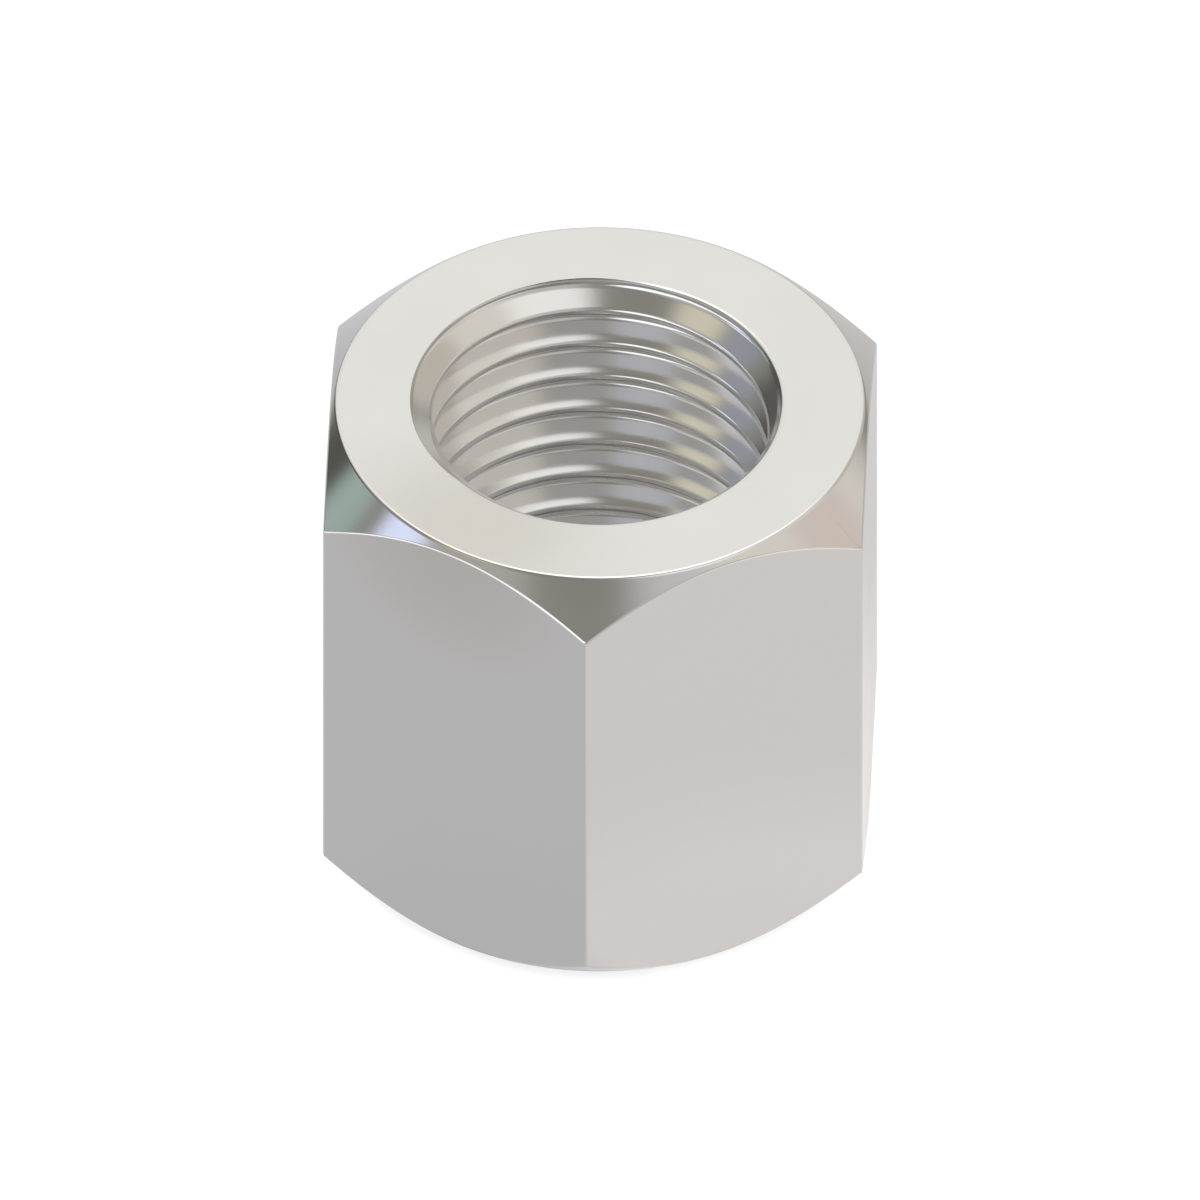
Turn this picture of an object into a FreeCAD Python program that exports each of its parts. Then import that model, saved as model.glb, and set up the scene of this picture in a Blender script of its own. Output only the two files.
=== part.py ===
import FreeCAD, Part
import math
import os

# Tube nut: a short piece of hexagon bar with a right-hand thread cut right through it.
# Units are millimetres. +Z is the thread axis and points up. The origin is the centre
# of the lower end face, and two of the six flats face +X and -X.

# Hexagon body
across_flats = 15.70
length = 15.30
# The lathe turns the corners off both ends, and leaves this circle flat.
end_face_diameter = 15.36
corner_chamfer_angle = 45.0

# Thread, 7/16-20 unified fine
thread_major_diameter = 11.1125
thread_pitch = 1.27
thread_flank_angle = 30.0
# Flat left on the crest and at the floor of the groove, as shares of the pitch
crest_flat_share = 1 / 4
floor_flat_share = 1 / 8
# Angle from +X at which the lower edge of the groove's floor leaves the upper end face
groove_exit_angle = 160.0

# Countersunk mouth at each end
mouth_diameter = 10.62
mouth_cone_angle = 90.0

# Sizes that follow from the ones above
corner_radius = across_flats / math.sqrt(3)
end_face_radius = end_face_diameter / 2
major_radius = thread_major_diameter / 2
flank_slope = math.tan(math.radians(thread_flank_angle))
flank_height = (1 - crest_flat_share - floor_flat_share) * thread_pitch / 2
thread_depth = flank_height / flank_slope
minor_radius = major_radius - thread_depth
mouth_depth = (mouth_diameter / 2 - minor_radius) / math.tan(math.radians(mouth_cone_angle / 2))

# Cutting tools run past the faces they cut by this much.
overrun = 0.5
flank_overrun = 0.08
# The bore's wall is made in this many equal stretches round the circle.
wall_stretches = 4

Z_AXIS = FreeCAD.Vector(0, 0, 1)


def point(x, z):
    """A point of a section drawn in the XZ plane."""
    return FreeCAD.Vector(x, 0, z)


def turned(outline):
    """A solid turned from half a section, given as (radius, height) pairs."""
    corners = [point(x, z) for x, z in outline]
    section = Part.Face(Part.makePolygon(corners + corners[:1]))
    return section.revolve(FreeCAD.Vector(0, 0, 0), Z_AXIS, 360)


def hexagon_bar():
    """The bar as drawn, with corners on +Y and -Y."""
    corners = []
    for i in range(6):
        turn = math.radians(30 + 60 * i)
        x = corner_radius * math.cos(turn)
        y = corner_radius * math.sin(turn)
        corners.append(FreeCAD.Vector(x, y, 0))
    section = Part.Face(Part.makePolygon(corners + corners[:1]))
    return section.extrude(Z_AXIS * length)


def turned_envelope():
    """What the lathe leaves of the bar: full width between two chamfered ends."""
    outer = corner_radius + overrun
    drop = (outer - end_face_radius) * math.tan(math.radians(corner_chamfer_angle))
    return turned([
        (0, 0),
        (end_face_radius, 0),
        (outer, drop),
        (outer, length - drop),
        (end_face_radius, length),
        (0, length),
    ])


def drill():
    """The tapping drill, in stretches that leave the wall as plain cylinder faces."""
    stretch = 360 / wall_stretches
    start = FreeCAD.Vector(0, 0, -overrun)
    pieces = []
    for i in range(wall_stretches):
        piece = Part.makeCylinder(minor_radius, length + 2 * overrun, start, Z_AXIS, stretch)
        piece.rotate(FreeCAD.Vector(0, 0, 0), Z_AXIS, i * stretch)
        pieces.append(piece)
    return pieces


def countersink():
    """The cone that opens the lower mouth."""
    widening = overrun * math.tan(math.radians(mouth_cone_angle / 2))
    return turned([
        (0, -overrun),
        (mouth_diameter / 2 + widening, -overrun),
        (mouth_diameter / 2, 0),
        (minor_radius, mouth_depth),
        (0, mouth_depth),
    ])


def groove_turn():
    """One turn of the groove's cutting tool, with the lower edge of its floor at height 0.

    A helix runs through each corner of the section, and ruled faces join the helices, so
    that floor and flanks are true screw surfaces. The section reaches a little past the
    bore's wall, so that the flanks cut the wall cleanly.
    """
    floor_top = floor_flat_share * thread_pitch
    spread = (thread_depth + flank_overrun) * flank_slope
    inner = minor_radius - flank_overrun
    section = [
        (inner, -spread),
        (major_radius, 0),
        (major_radius, floor_top),
        (inner, floor_top + spread),
    ]
    helices = []
    for radius, height in section:
        helix = Part.makeHelix(thread_pitch, thread_pitch, radius)
        helix.translate(Z_AXIS * height)
        helices.append(helix.Edges[0])
    faces = []
    for helix, following in zip(helices, helices[1:] + helices[:1]):
        faces.append(Part.makeRuledSurface(helix, following))
    starts = [point(radius, height) for radius, height in section]
    ends = [start + Z_AXIS * thread_pitch for start in starts]
    for corners in (starts, ends):
        faces.append(Part.Face(Part.makePolygon(corners + corners[:1])))
    shell = Part.makeShell(faces)
    shell.sewShape()
    turn = Part.makeSolid(shell.Shells[0])
    if turn.Volume < 0:
        turn.reverse()
    return turn


def thread_groove():
    """The groove, turn above turn, from below the lower face to above the upper face."""
    exit_rise = groove_exit_angle / 360 * thread_pitch
    turns_inside = math.ceil(length / thread_pitch) + 1
    first_height = length - exit_rise - turns_inside * thread_pitch
    turn = groove_turn()
    turns = []
    for i in range(turns_inside + 2):
        copy = turn.copy()
        copy.translate(Z_AXIS * (first_height + i * thread_pitch))
        turns.append(copy)
    return turns


def tube_nut():
    """The finished nut: turned, drilled, tapped and countersunk."""
    nut = hexagon_bar().common(turned_envelope())
    for piece in drill():
        nut = nut.cut(piece)
    nut = nut.cut(thread_groove())
    lower_mouth = countersink()
    upper_mouth = lower_mouth.copy()
    upper_mouth.rotate(FreeCAD.Vector(0, 0, length / 2), FreeCAD.Vector(1, 0, 0), 180)
    nut = nut.cut(lower_mouth)
    return nut.cut(upper_mouth)


os.makedirs("parts", exist_ok=True)
shape = tube_nut()
shape.exportStep("parts/tube_nut.step")
print("solids", len(shape.Solids), "faces", len(shape.Faces), "valid", shape.isValid())
print("volume", round(shape.Volume, 2), "mm3", "minor diameter", round(2 * minor_radius, 3))
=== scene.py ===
# %% [markdown]
# # A tube nut, turned from hexagon bar
#
# A tube nut is a short piece of hexagon bar with a thread cut right through it. It draws
# the flared end of a metal tube onto its seat. This lesson models it the way a workshop
# makes it: saw the bar, turn both ends in the lathe, drill and tap the bore, open its two
# mouths, and take the sharp edges off. The finished CAD part is loaded first as a frame.

import math

import bpy
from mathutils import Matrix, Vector


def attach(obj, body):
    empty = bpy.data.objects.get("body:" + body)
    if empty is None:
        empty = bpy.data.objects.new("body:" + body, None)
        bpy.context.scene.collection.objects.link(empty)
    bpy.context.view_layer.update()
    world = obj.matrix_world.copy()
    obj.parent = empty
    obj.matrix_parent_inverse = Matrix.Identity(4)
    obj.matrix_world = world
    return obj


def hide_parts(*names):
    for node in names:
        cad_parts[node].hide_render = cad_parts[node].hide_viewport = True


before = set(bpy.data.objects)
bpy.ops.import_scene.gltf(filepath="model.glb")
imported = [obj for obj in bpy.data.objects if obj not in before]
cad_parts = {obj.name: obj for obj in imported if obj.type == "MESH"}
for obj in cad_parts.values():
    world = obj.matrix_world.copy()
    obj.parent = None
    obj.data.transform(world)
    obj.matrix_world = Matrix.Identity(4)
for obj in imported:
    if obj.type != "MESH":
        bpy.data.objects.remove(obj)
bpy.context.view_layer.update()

# %% [markdown]
# ## The sizes of the nut
#
# A machinist reads these from the drawing. The work is done in millimetres, because
# several edit tools merge points closer than a tenth of a unit, and a nut drawn in metres
# would fall inside that. The last step scales the mesh to metres.

# %% Sizes in millimetres
across_flats = 15.70
length = 15.30
end_face_diameter = 15.36
thread_major_diameter = 11.1125
thread_pitch = 1.27
thread_depth = 0.6875
groove_exit_angle = 150.0
mouth_diameter = 10.62

corner_radius = across_flats / math.sqrt(3)
minor_radius = thread_major_diameter / 2 - thread_depth
print("across corners", round(2 * corner_radius, 3), "bore", round(2 * minor_radius, 3))

# %% [markdown]
# ## Working helpers
#
# An operator acts on everything that is selected, so each step starts from nothing
# selected. Faces, edges and points are then picked in code by their place, which is what
# a click in the window would do. A tool body, such as the tap, is taken away from the nut
# with a Boolean modifier, and then it is thrown away as a worn tool would be.

# %% Helpers for picking and cutting
def alone(piece):
    """Selects one piece and nothing else."""
    if bpy.context.object and bpy.context.object.mode != "OBJECT":
        bpy.ops.object.mode_set(mode="OBJECT")
    bpy.ops.object.select_all(action="DESELECT")
    piece.select_set(True)
    bpy.context.view_layer.objects.active = piece


def pick(kind, test):
    """In edit mode, selects the parts of the active mesh that pass the test."""
    bpy.ops.object.mode_set(mode="EDIT")
    bpy.ops.mesh.select_mode(type=kind)
    bpy.ops.mesh.select_all(action="DESELECT")
    bpy.ops.object.mode_set(mode="OBJECT")
    mesh = bpy.context.object.data
    parts = {"VERT": mesh.vertices, "EDGE": mesh.edges, "FACE": mesh.polygons}[kind]
    for part in parts:
        part.select = test(part)
    chosen = sum(part.select for part in parts)
    bpy.ops.object.mode_set(mode="EDIT")
    return chosen


def settle(name):
    """Names the new primitive and puts its place into its mesh."""
    piece = bpy.context.object
    piece.name = name
    piece.data.name = name
    bpy.ops.object.transform_apply(location=True, rotation=True, scale=True)
    return piece


def combine(piece, tool, how):
    """Cuts or trims a piece with a tool body, and removes the tool."""
    alone(piece)
    change = piece.modifiers.new("cut", "BOOLEAN")
    change.operation = how
    change.solver = "EXACT"
    change.object = tool
    bpy.ops.object.modifier_apply(modifier="cut")
    bpy.data.objects.remove(tool)
    print(how.lower(), "leaves", len(piece.data.polygons), "faces")


bpy.ops.object.select_all(action="DESELECT")

# %% [markdown]
# ## The sawn bar
#
# The blank is a sawn length of hexagon bar. A cylinder with six sides is that bar, and
# its corners already point along Y, as they do in the CAD part. Drawn bar never has knife
# edges: its six long corners are a little round, which a bevel of six segments gives. The
# corners are the edges whose two ends lie at different heights.

# %% Hexagon bar
bpy.ops.mesh.primitive_cylinder_add(
    vertices=6, radius=corner_radius, depth=length, location=(0, 0, length / 2))
nut = settle("nut")
points = nut.data.vertices
corner_round = 0.10
pick("EDGE", lambda edge: points[edge.vertices[0]].co.z != points[edge.vertices[1]].co.z)
bpy.ops.mesh.bevel(offset=corner_round, segments=6, affect="EDGES")
bpy.ops.object.mode_set(mode="OBJECT")
print("bar", [round(side, 3) for side in nut.dimensions])

# %% [markdown]
# ## Bodies of revolution
#
# The lathe's work and the countersink are both round about the axis. Such a body starts as
# a cone or drum primitive, which is its first step, and its end face is then extruded up
# and drawn in or out, step by step, until the whole outline stands. The corners of the
# outline get a small arc, because a turned edge is broken and not left sharp.

# %% Turned bodies
def turned(name, outline, sides):
    """A body of revolution from (radius, height) steps, from the lowest to the highest."""
    (start, low), (end, high) = outline[:2]
    bpy.ops.mesh.primitive_cone_add(
        vertices=sides, radius1=start, radius2=end, depth=high - low,
        location=(0, 0, (low + high) / 2))
    body = settle(name)
    pick("FACE", lambda face: face.normal.z > 0.9 and len(face.vertices) == sides
         and face.center.z > (low + high) / 2)
    for (before, below), (radius, height) in zip(outline[1:], outline[2:]):
        bpy.ops.mesh.extrude_region_move(
            TRANSFORM_OT_translate={"value": (0, 0, height - below)})
        grow = radius / before
        bpy.ops.transform.resize(value=(grow, grow, 1), center_override=(0, 0, height))
    bpy.ops.object.mode_set(mode="OBJECT")
    print(name, [round(side, 2) for side in body.dimensions])
    return body


def arc(centre, radius, start, end, steps=5):
    """Points of a small arc in the outline, between two angles in degrees."""
    points = []
    for i in range(steps + 1):
        turn = math.radians(start + (end - start) * i / steps)
        points.append((centre[0] + radius * math.cos(turn), centre[1] + radius * math.sin(turn)))
    return points


def reach(radius):
    """How far from a corner of 45 degrees an arc of this radius starts."""
    return radius * math.tan(math.radians(45 / 2))


edge_radius = 0.2
print("an edge's arc starts", round(reach(edge_radius), 3), "mm from the corner")

# %% [markdown]
# ## Turning the ends
#
# In the lathe a 45 degree tool takes the six corners off both ends. Where that cone meets
# the flats it leaves curved arcs, which a plain bevel of the hexagon would not give. So the
# turned shape is made as its own body, and the nut is what the bar and it have in common.

# %% Turned drum
end_face_radius = end_face_diameter / 2
overrun = 0.5
drum_sides = 240
drum_radius = corner_radius + overrun
cone_height = drum_radius - end_face_radius
inset = end_face_radius - reach(edge_radius)
upper = [(drum_radius, length - cone_height)]
upper += arc((inset, length - edge_radius), edge_radius, 45, 90)
lower = [(radius, length - height) for radius, height in reversed(upper)]
combine(nut, turned("drum", lower + upper, drum_sides), "INTERSECT")

# %% [markdown]
# ## Breaking the arcs
#
# The tool leaves a burr along the arcs, where cone and flats meet. It is rubbed off, and
# that narrow strip catches the light. The arcs are now the only sharp edges of the nut, so
# they can be picked by their angle and bevelled together. Where a strip meets the small
# round of a long corner, three points can end up on one line. Such a face has no area and
# would tear the mesh in the next cut, so it is dissolved at once.

# %% Arcs between cone and flats
arc_break = 0.07
sharper_than = 25
narrower_than = 0.0002
alone(nut)
bpy.ops.object.mode_set(mode="EDIT")
bpy.ops.mesh.select_mode(type="EDGE")
bpy.ops.mesh.select_all(action="DESELECT")
bpy.ops.mesh.edges_select_sharp(sharpness=math.radians(sharper_than))
bpy.ops.mesh.bevel(offset=arc_break, segments=5, affect="EDGES", clamp_overlap=False)
bpy.ops.mesh.select_all(action="SELECT")
bpy.ops.mesh.dissolve_degenerate(threshold=narrower_than)
bpy.ops.object.mode_set(mode="OBJECT")
print("arcs broken,", len(nut.data.polygons), "faces")

# %% [markdown]
# ## The thread's section
#
# The thread is a right-hand fine thread with flanks at 60 degrees. Its roots and crests are
# round, as a rolled or worn thread has them, and the arcs are sized so that they just touch
# the bore's diameter and the thread's outer diameter. Between two such flanks an arc has its
# centre two radii from their corner. The section is planned once, over one pitch, as a list
# of points: from the middle of a flank round the root, round the crest and on to the next
# flank's middle.

# %% Points of one groove
crest_radius = 0.177
root_radius = 0.235
arc_steps = 12
crest_point = minor_radius - crest_radius
root_point = crest_point + thread_pitch / 2 * math.tan(math.radians(60))
middle = (crest_point + root_point) / 2
section = [(middle, -thread_pitch / 4)]
section += arc((root_point - 2 * root_radius, 0), root_radius, -60, 60, arc_steps)
section += arc(
    (crest_point + 2 * crest_radius, thread_pitch / 2), crest_radius, 240, 120, arc_steps)
section += [(middle, 3 * thread_pitch / 4)]
print("points planned", len(section))

# %% [markdown]
# ## Drawing the section
#
# The groove has to leave the end face at the right place on the circle, because that sets
# where every turn stands. The first root's height is therefore counted down from the end
# face by whole pitches, and spare turns stand beyond both faces. A plane primitive merged to
# one point starts the section, and each step of the list is one pull of that point.

# %% Section pulled from one point
spare_turns = 4
turns = math.ceil(length / thread_pitch) + spare_turns
exit_rise = groove_exit_angle / 360 * thread_pitch
root_height = length - exit_rise - (turns - spare_turns / 2) * thread_pitch
bpy.ops.mesh.primitive_plane_add(
    size=1, location=(section[0][0], 0, root_height + section[0][1]))
tap = settle("tap")
bpy.ops.object.mode_set(mode="EDIT")
bpy.ops.mesh.select_mode(type="VERT")
bpy.ops.mesh.select_all(action="SELECT")
bpy.ops.mesh.merge(type="CENTER")
for start, end in zip(section, section[1:]):
    step = (end[0] - start[0], 0, end[1] - start[1])
    bpy.ops.mesh.extrude_vertices_move(TRANSFORM_OT_translate={"value": step})
bpy.ops.object.mode_set(mode="OBJECT")
print("points in the section", len(tap.data.vertices), "edges", len(tap.data.edges))

# %% [markdown]
# ## The tap
#
# A Screw modifier winds the section round the axis and lifts it by one pitch each turn,
# which is exactly what a tap does. The turns meet along the middle of the crests, so their
# doubled points are merged. Both ends are then bisected flat and filled, well outside the
# nut, and the tap is a closed body that can be cut away.

# %% Wound and closed tap
tap_overrun = 0.6
steps_per_turn = 144
alone(tap)
winding = tap.modifiers.new("winding", "SCREW")
winding.axis = "Z"
winding.angle = 2 * math.pi
winding.screw_offset = thread_pitch
winding.iterations = turns
winding.steps = steps_per_turn
winding.render_steps = steps_per_turn
bpy.ops.object.modifier_apply(modifier="winding")
bpy.ops.object.mode_set(mode="EDIT")
bpy.ops.mesh.select_all(action="SELECT")
bpy.ops.mesh.remove_doubles(threshold=1e-4)
for height, upward in ((length + tap_overrun, 1), (-tap_overrun, -1)):
    bpy.ops.mesh.select_all(action="SELECT")
    bpy.ops.mesh.bisect(
        plane_co=(0, 0, height), plane_no=(0, 0, upward), use_fill=True,
        clear_outer=True, threshold=1e-6)
bpy.ops.mesh.select_all(action="SELECT")
bpy.ops.mesh.normals_make_consistent(inside=False)
bpy.ops.object.mode_set(mode="OBJECT")
print("tap", [round(side, 3) for side in tap.dimensions], len(tap.data.polygons), "faces")
combine(nut, tap, "DIFFERENCE")

# %% [markdown]
# ## The two mouths
#
# A 90 degree countersink opens each end of the bore, so that the tube's fitting finds its
# way in and no thin thread stands at the face. Its outline runs from the empty bore up the
# cone, rolls over the rim with a small arc, and leaves the face.

# %% Countersunk mouths
rim = mouth_diameter / 2
rim_radius = 0.25
rim_end = rim + reach(rim_radius)
mouth_sides = 288
mouth_depth = rim - minor_radius
outline = [(minor_radius - overrun, length - mouth_depth - overrun)]
outline += arc((rim_end, length - rim_radius), rim_radius, 135, 90)
outline.append((rim_end, length + overrun))
combine(nut, turned("countersink", outline, mouth_sides), "DIFFERENCE")
outline = [(radius, length - height) for radius, height in reversed(outline)]
combine(nut, turned("countersink", outline, mouth_sides), "DIFFERENCE")
print("mouth depth", round(mouth_depth, 3))

# %% [markdown]
# ## Shading and scale
#
# Smooth shading hides the facets of the turned and tapped surfaces. Edges sharper than 13
# degrees stay sharp, and every rounding above was made in smaller steps than that. Weighted
# normals make each big flat face keep its own direction, so that only the narrow edge
# strips turn the light. At last the mesh goes to metres.

# %% Smooth shading and metres
smooth_below = 13
metre = 0.001
alone(nut)
bpy.ops.object.shade_smooth_by_angle(angle=math.radians(smooth_below))
even = nut.modifiers.new("even", "WEIGHTED_NORMAL")
even.keep_sharp = True
bpy.ops.object.modifier_apply(modifier="even")
nut.scale = (metre, metre, metre)
bpy.ops.object.transform_apply(location=True, rotation=True, scale=True)
print("nut in mm", [round(1000 * side, 3) for side in nut.dimensions])

# %% [markdown]
# ## Satin steel
#
# The nut is bare bright steel. Its colour is a nearly neutral grey with a trace of warmth,
# and its polish is satin: reflections are clear in shape but soft at the edge. A perfectly
# even metal looks like plastic, so a fine grain changes the tone a little and ruffles the
# surface by far less than a hundredth of a millimetre, and a broad cloud changes the polish.

# %% Grain and polish
least_roughness = 0.13
most_roughness = 0.19
grain_height = 0.00001
grain_strength = 0.05
steel = bpy.data.materials.new("satin_steel")
steel.use_nodes = True
tree = steel.node_tree
surface = tree.nodes["Principled BSDF"]
surface.inputs["Metallic"].default_value = 1
place = tree.nodes.new("ShaderNodeTexCoord")


def noise(scale, detail):
    """A pattern of noise that is fixed to the nut."""
    pattern = tree.nodes.new("ShaderNodeTexNoise")
    pattern.inputs["Scale"].default_value = scale
    pattern.inputs["Detail"].default_value = detail
    tree.links.new(place.outputs["Object"], pattern.inputs["Vector"])
    return pattern.outputs["Fac"]


grain = noise(scale=9000, detail=3)
cloud = noise(scale=300, detail=4)
polish = tree.nodes.new("ShaderNodeMapRange")
polish.inputs["To Min"].default_value = least_roughness
polish.inputs["To Max"].default_value = most_roughness
tree.links.new(cloud, polish.inputs["Value"])
tree.links.new(polish.outputs["Result"], surface.inputs["Roughness"])
relief = tree.nodes.new("ShaderNodeBump")
relief.inputs["Strength"].default_value = grain_strength
relief.inputs["Distance"].default_value = grain_height
tree.links.new(grain, relief.inputs["Height"])
tree.links.new(relief.outputs["Normal"], surface.inputs["Normal"])
print("roughness from", least_roughness, "to", most_roughness)

# %% [markdown]
# ## Painted shade on the end face
#
# The end face gets a soft patch of painted shade at its front left, a little darker and
# browner than the rest. It could be painted on an image, but it only depends on how far a
# point lies from the middle of the patch. So a distance fades it in, and it stays on the
# metal in every view. Its place is in metres, as the nut is by now.

# %% Tone and painted shade
darker_steel = (0.550, 0.543, 0.528, 1)
lighter_steel = (0.570, 0.561, 0.545, 1)
# The patch's colour is painted shade, multiplied into the steel near the patch's middle.
painted_shade_colour = (0.89, 0.865, 0.835, 1)
painted_shade_middle = (-0.0035, -0.0056, length * metre)
painted_shade_full_within = 0.0008
painted_shade_gone_beyond = 0.0055
tone = tree.nodes.new("ShaderNodeMix")
tone.data_type = "RGBA"
tone.inputs[6].default_value = darker_steel
tone.inputs[7].default_value = lighter_steel
tree.links.new(grain, tone.inputs["Factor"])
shade_patch = tree.nodes.new("ShaderNodeVectorMath")
shade_patch.operation = "DISTANCE"
shade_patch.inputs[1].default_value = painted_shade_middle
tree.links.new(place.outputs["Object"], shade_patch.inputs[0])
fade = tree.nodes.new("ShaderNodeMapRange")
fade.interpolation_type = "SMOOTHSTEP"
fade.inputs["From Min"].default_value = painted_shade_gone_beyond
fade.inputs["From Max"].default_value = painted_shade_full_within
tree.links.new(shade_patch.outputs["Value"], fade.inputs["Value"])
# This mix paints the patch of shade onto the steel's tone.
warm = tree.nodes.new("ShaderNodeMix")
warm.data_type = "RGBA"
warm.blend_type = "MULTIPLY"
warm.inputs[7].default_value = painted_shade_colour
tree.links.new(fade.outputs["Result"], warm.inputs["Factor"])
tree.links.new(tone.outputs[2], warm.inputs[6])
tree.links.new(warm.outputs[2], surface.inputs["Base Color"])
print("the film reaches", painted_shade_gone_beyond / metre, "mm from its middle")

# %% [markdown]
# ## In place of the CAD nut
#
# The finished mesh takes the steel and stands for the CAD part from here on. It moves with
# the part's only body.

# %% Finish and hand-over of the nut
nut.data.materials.clear()
nut.data.materials.append(steel)
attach(nut, "root")
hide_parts("tube_nut")
print("finish", steel.name)

# %% [markdown]
# ## The floor
#
# The nut stands on plain paper. One large plane does for it, and as the stage it is no part
# of the nut. Its own colour is a dull grey, so it takes the nut's soft shadow and throws
# little light back. Its whiteness comes from a glow, which the next cells make.

# %% Floor
floor_width = 2
dull_grey = (0.3, 0.3, 0.3, 1)
bpy.ops.object.select_all(action="DESELECT")
bpy.ops.mesh.primitive_plane_add(size=floor_width, location=(0, 0, 0))
floor = settle("floor")
paper = bpy.data.materials.new("paper")
paper.use_nodes = True
tree = paper.node_tree
surface = tree.nodes["Principled BSDF"]
surface.inputs["Base Color"].default_value = dull_grey
surface.inputs["Roughness"].default_value = 1
surface.inputs["Specular IOR Level"].default_value = 0
floor.data.materials.append(paper)
print("floor", [round(side, 2) for side in floor.dimensions], "m")

# %% [markdown]
# ## Helpers for the paper's glow
#
# A glow that changes over the paper is worked out from a few numbers. One helper turns a
# coordinate into a strength, and the other puts two strengths together.

# %% Ramp and calculation
def ramp(value, start, end, low, high):
    """Turns a coordinate into a strength that runs from low to high."""
    slope = tree.nodes.new("ShaderNodeMapRange")
    slope.inputs["From Min"].default_value = start
    slope.inputs["From Max"].default_value = end
    slope.inputs["To Min"].default_value = low
    slope.inputs["To Max"].default_value = high
    tree.links.new(value, slope.inputs["Value"])
    return slope.outputs["Result"]


def combined(operation, first, second):
    """Puts two strengths together with one operation."""
    calculation = tree.nodes.new("ShaderNodeMath")
    calculation.operation = operation
    tree.links.new(first, calculation.inputs[0])
    tree.links.new(second, calculation.inputs[1])
    return calculation.outputs[0]


place = tree.nodes.new("ShaderNodeTexCoord")
across = tree.nodes.new("ShaderNodeSeparateXYZ")
tree.links.new(place.outputs["Object"], across.inputs[0])
away = tree.nodes.new("ShaderNodeVectorMath")
away.operation = "LENGTH"
tree.links.new(place.outputs["Object"], away.inputs[0])
print("coordinates of the paper:", ", ".join(across.outputs.keys()))

# %% [markdown]
# ## The paper as the metal sees it
#
# The flats of the nut are upright mirrors that look down at the paper, so each flat shows the
# glow of the paper in front of it, and that glow is painted light. The left flat is darker
# than the right one, so one ramp across the paper paints the glow darker on the left and
# lighter on the right. A second one paints shade beside and behind the nut, and a third paints
# a brighter patch close to the right flat. Under the end face a painted shadow leaves no glow
# at all. Every distance is in metres on the floor, so nothing slides when the camera moves.

# %% Tones over the paper
left_tone = 0.53
right_tone = 0.77
left_ends = -0.001
right_starts = 0.002
extra_tone = 0.13
extra_full_at = 0.003
extra_within = 0.010
extra_gone_beyond = 0.016
front_tone = 0.86
back_tone = 0.50
front_ends = -0.005
back_starts = 0.0114
dark_within = 0.0074
lit_beyond = 0.0077
# Painted light and shade in the paper's glow: darker left, brighter right, shade behind, and a
# painted shadow under the nut.
sideways = ramp(across.outputs["X"], left_ends, right_starts, left_tone, right_tone)
close_by = combined(
    "MULTIPLY", ramp(across.outputs["X"], 0, extra_full_at, 0, extra_tone),
    ramp(away.outputs["Value"], extra_within, extra_gone_beyond, 1, 0))
backwards = ramp(across.outputs["Y"], front_ends, back_starts, front_tone, back_tone)
under_the_nut = ramp(away.outputs["Value"], dark_within, lit_beyond, 0, 1)
strength = combined("MINIMUM", combined("ADD", sideways, close_by), backwards)
strength = combined("MULTIPLY", strength, under_the_nut)
print("nodes in the paper", len(tree.nodes))

# %% [markdown]
# ## A cool and a warm side
#
# The paper's glow gets two painted tints of light, which can be seen on the flats and hardly
# anywhere else: on the left a little cooler, and on the right a little warmer. A Mix node
# with two colours and a ramp across does that.

# %% Tint of the paper
# Painted tints of light in the glow: cooler on the left, warmer on the right.
cool_white = (1, 1, 1.065, 1)
warm_white = (1, 0.96, 0.97, 1)
tint = tree.nodes.new("ShaderNodeMix")
tint.data_type = "RGBA"
tint.inputs[6].default_value = cool_white
tint.inputs[7].default_value = warm_white
tree.links.new(
    ramp(across.outputs["X"], left_ends, right_starts, 0, 1), tint.inputs["Factor"])
print("cool side", cool_white[:3], "warm side", warm_white[:3])

# %% [markdown]
# ## White for the eye only
#
# To the camera the floor shows as white paper, and to the metal it has the tones and tints
# made above. Light Path tells both kinds of ray apart from the ones that carry light on, so
# the glow brightens nothing else, and the nut's soft shadow stays. The camera gets the glow
# without its tint, which keeps the shadow's edge a neutral grey.

# %% White floor
camera_glow = 0.82
ray = tree.nodes.new("ShaderNodeLightPath")
seen = ray.outputs["Is Camera Ray"]
for kind in ("Is Glossy Ray", "Is Transmission Ray"):
    seen = combined("MAXIMUM", seen, ray.outputs[kind])
to_eye = tree.nodes.new("ShaderNodeMath")
to_eye.operation = "MULTIPLY"
to_eye.inputs[1].default_value = camera_glow
tree.links.new(ray.outputs["Is Camera Ray"], to_eye.inputs[0])
glow = combined("MULTIPLY", seen, combined("MAXIMUM", to_eye.outputs[0], strength))
tree.links.new(glow, surface.inputs["Emission Strength"])
plain = tree.nodes.new("ShaderNodeMix")
plain.data_type = "RGBA"
plain.inputs[7].default_value = (1, 1, 1, 1)
tree.links.new(ray.outputs["Is Camera Ray"], plain.inputs["Factor"])
tree.links.new(tint.outputs[2], plain.inputs[6])
tree.links.new(plain.outputs[2], surface.inputs["Emission Color"])
print("glow for the camera", camera_glow)

# %% [markdown]
# ## The camera
#
# The picture is taken from about 42 degrees up, with one corner of the hexagon turned almost
# to the lens. The lines of the bar do not run together, so the lens is orthographic.

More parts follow.
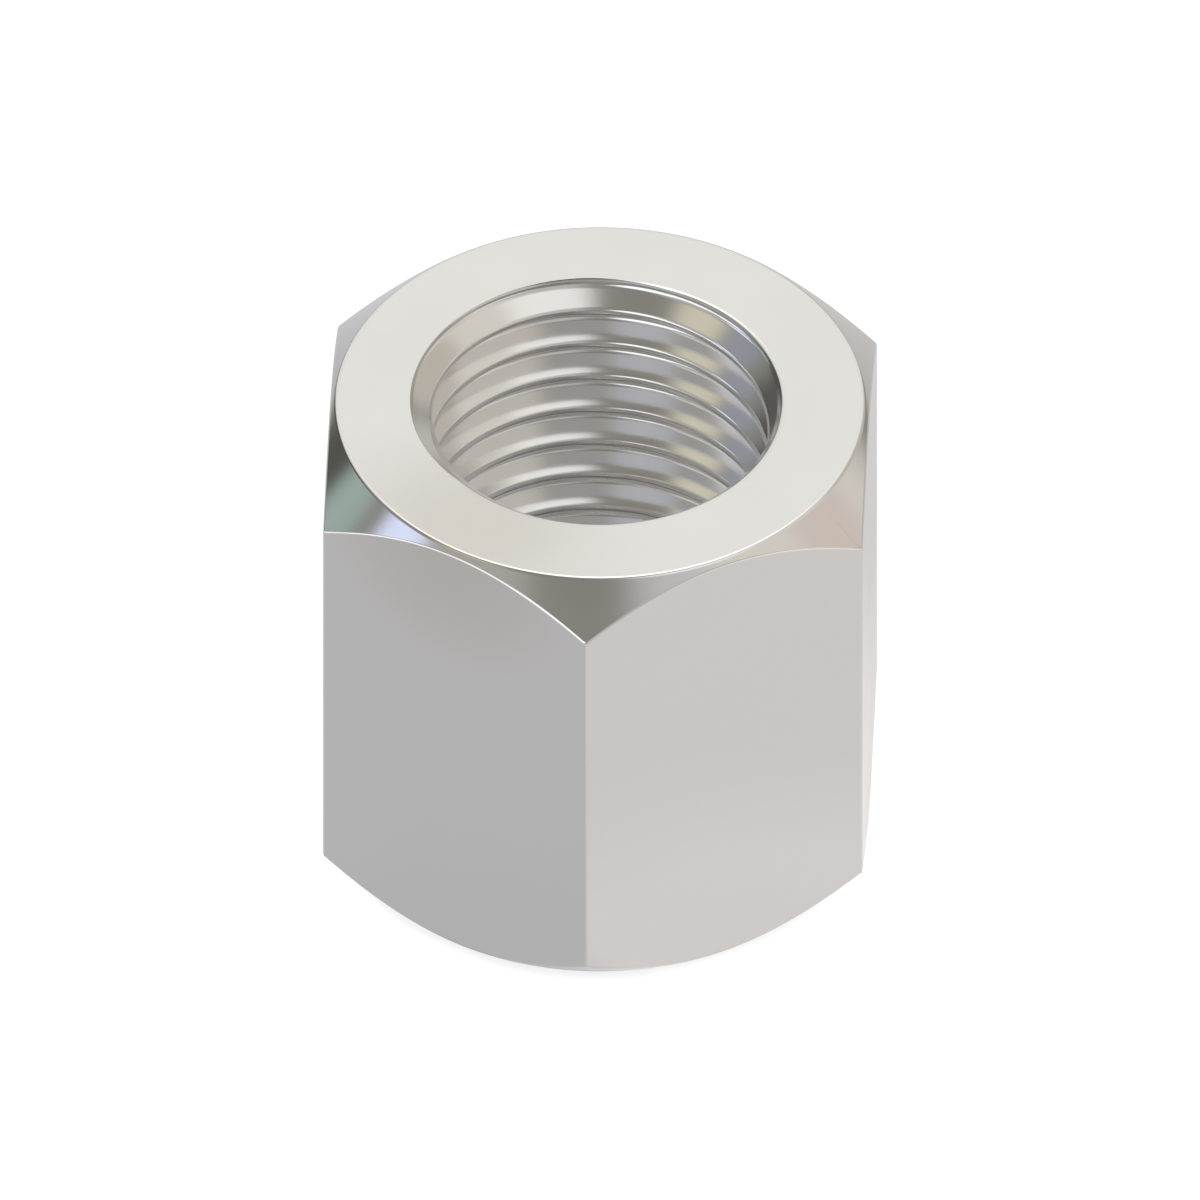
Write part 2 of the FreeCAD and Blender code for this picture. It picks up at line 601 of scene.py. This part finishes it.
# %% Camera
camera_turn = 2.7
elevation = math.radians(41.68)
heading = math.radians(270 + camera_turn)
to_camera = Vector((
    math.cos(elevation) * math.cos(heading),
    math.cos(elevation) * math.sin(heading),
    math.sin(elevation)))
aim = Vector((0, 0, 0.007623))
distance = 0.3
frame_width = 0.03488
camera = bpy.data.objects.new("camera", bpy.data.cameras.new("camera"))
bpy.context.scene.collection.objects.link(camera)
camera.data.type = "ORTHO"
camera.data.ortho_scale = frame_width
camera.data.clip_start = 0.01
camera.data.clip_end = 10
camera.location = aim + distance * to_camera
camera.rotation_euler = to_camera.to_track_quat("Z", "Y").to_euler()
bpy.context.scene.camera = camera
print("camera at", [round(value, 3) for value in camera.location])

# %% [markdown]
# ## The studio
#
# Metal has no look of its own: it shows what stands round it. The studio is a dim warm room
# with soft light panels, and each panel is a round patch of the sky with a soft edge. Its
# place is given as a compass direction and a height, and its size as two angles, inside
# which it is full and outside which it is gone.

# %% Light panels
room = (0.375, 0.37, 0.335)
panels = [
    # compass, height, full within, gone beyond, colour
    (318, 46, 12, 30, (0.84, 0.85, 0.86)),
    (300, 20, 12, 26, (0.80, 0.79, 0.78)),
    (92, 36, 27, 41, (1.28, 1.28, 1.25)),
    (8, 40, 27, 46, (1.10, 1.06, 0.98)),
    (5, 24, 6, 16, (1.01, 0.89, 0.82)),
    (41, 29, 12, 21, (0.82, 0.77, 0.69)),
    (70, 2, 8, 18, (0.82, 0.80, 0.75)),
    (-25, 68, 9, 18, (1.42, 1.42, 1.40)),
    (211, 42, 10, 25, (0.71, 0.71, 0.68)),
    (184, 63, 5, 12, (1.06, 1.00, 0.80)),
    (163, 49, 4, 10, (0.48, 0.51, 0.60)),
    (92, 62, 7, 18, (2.80, 2.80, 2.80)),
    (145, 20, 13, 22, (0.13, 0.13, 0.12)),
    (161, 21, 3, 11, (0.58, 0.74, 0.70)),
    (185, 31, 5, 11, (1.42, 1.58, 2.10)),
    (176, 2, 7, 15, (2.00, 2.05, 2.20)),
    (200, 5, 8, 17, (2.00, 2.05, 2.20)),
    (222, 10, 8, 17, (2.00, 2.05, 2.20)),
    (247, 22, 13, 21, (1.95, 2.00, 2.10)),
    (247, -15, 7, 22, (1.35, 1.38, 1.55)),
    (330, -14, 20, 33, (1.55, 1.51, 1.43)),
]


def towards(compass, height):
    """The direction of a place in the sky, with 0 at the picture's right and 90 behind."""
    turn = math.radians(compass + camera_turn)
    rise = math.radians(height)
    return (math.cos(rise) * math.cos(turn), math.cos(rise) * math.sin(turn), math.sin(rise))


print("panels", len(panels), "and the first lies towards",
      [round(value, 2) for value in towards(*panels[0][:2])])

# %% [markdown]
# ## The sky of the studio
#
# The world has the room's colour above the horizon and a pale grey below it, where the real
# table would be. The panels are then laid over it one after another, so a later panel hides
# an earlier one where they meet. The world is used, and not lamps, because a lamp's mirror
# image has a hard edge, and satin steel in soft light shows none.

# %% Sky
pale_grey = (0.95, 0.95, 0.95, 1)
horizon = 0.02
studio = bpy.data.worlds.new("studio")
bpy.context.scene.world = studio
studio.use_nodes = True
tree = studio.node_tree
look = tree.nodes.new("ShaderNodeTexCoord")
split = tree.nodes.new("ShaderNodeSeparateXYZ")
tree.links.new(look.outputs["Generated"], split.inputs[0])
below = tree.nodes.new("ShaderNodeMapRange")
below.interpolation_type = "SMOOTHSTEP"
below.inputs["From Min"].default_value = horizon
below.inputs["From Max"].default_value = -horizon
tree.links.new(split.outputs["Z"], below.inputs["Value"])
blend = tree.nodes.new("ShaderNodeMix")
blend.data_type = "RGBA"
blend.inputs[6].default_value = (*room, 1)
blend.inputs[7].default_value = pale_grey
tree.links.new(below.outputs["Result"], blend.inputs["Factor"])
for compass, height, inner, outer, shade in panels:
    near = tree.nodes.new("ShaderNodeVectorMath")
    near.operation = "DOT_PRODUCT"
    near.inputs[1].default_value = towards(compass, height)
    tree.links.new(look.outputs["Generated"], near.inputs[0])
    edge = tree.nodes.new("ShaderNodeMapRange")
    edge.interpolation_type = "SMOOTHSTEP"
    edge.inputs["From Min"].default_value = math.cos(math.radians(outer))
    edge.inputs["From Max"].default_value = math.cos(math.radians(inner))
    tree.links.new(near.outputs["Value"], edge.inputs["Value"])
    under = blend
    blend = tree.nodes.new("ShaderNodeMix")
    blend.data_type = "RGBA"
    blend.inputs[7].default_value = (*shade, 1)
    tree.links.new(edge.outputs["Result"], blend.inputs["Factor"])
    tree.links.new(under.outputs[2], blend.inputs[6])
tree.links.new(blend.outputs[2], tree.nodes["Background"].inputs["Color"])
print("nodes in the sky", len(tree.nodes))

# %% [markdown]
# ## Light between the threads
#
# In a narrow groove light bounces many times between bright flanks. Following every bounce
# is slow and noisy, and cutting it short leaves the groove black. With fast global
# illumination a later bounce sees the studio at once unless metal stands within 0.3 mm, and
# that keeps the grooves a silvery grey.

# %% Colour and bounces
blocked_within = 0.0003
scene = bpy.context.scene
scene.view_settings.view_transform = "Standard"
scene.cycles.use_fast_gi = True
scene.cycles.fast_gi_method = "REPLACE"
scene.cycles.ao_bounces = 1
scene.cycles.ao_bounces_render = 1
studio.light_settings.distance = blocked_within
studio.light_settings.ao_factor = 1.0
print("colours shown as", scene.view_settings.view_transform)
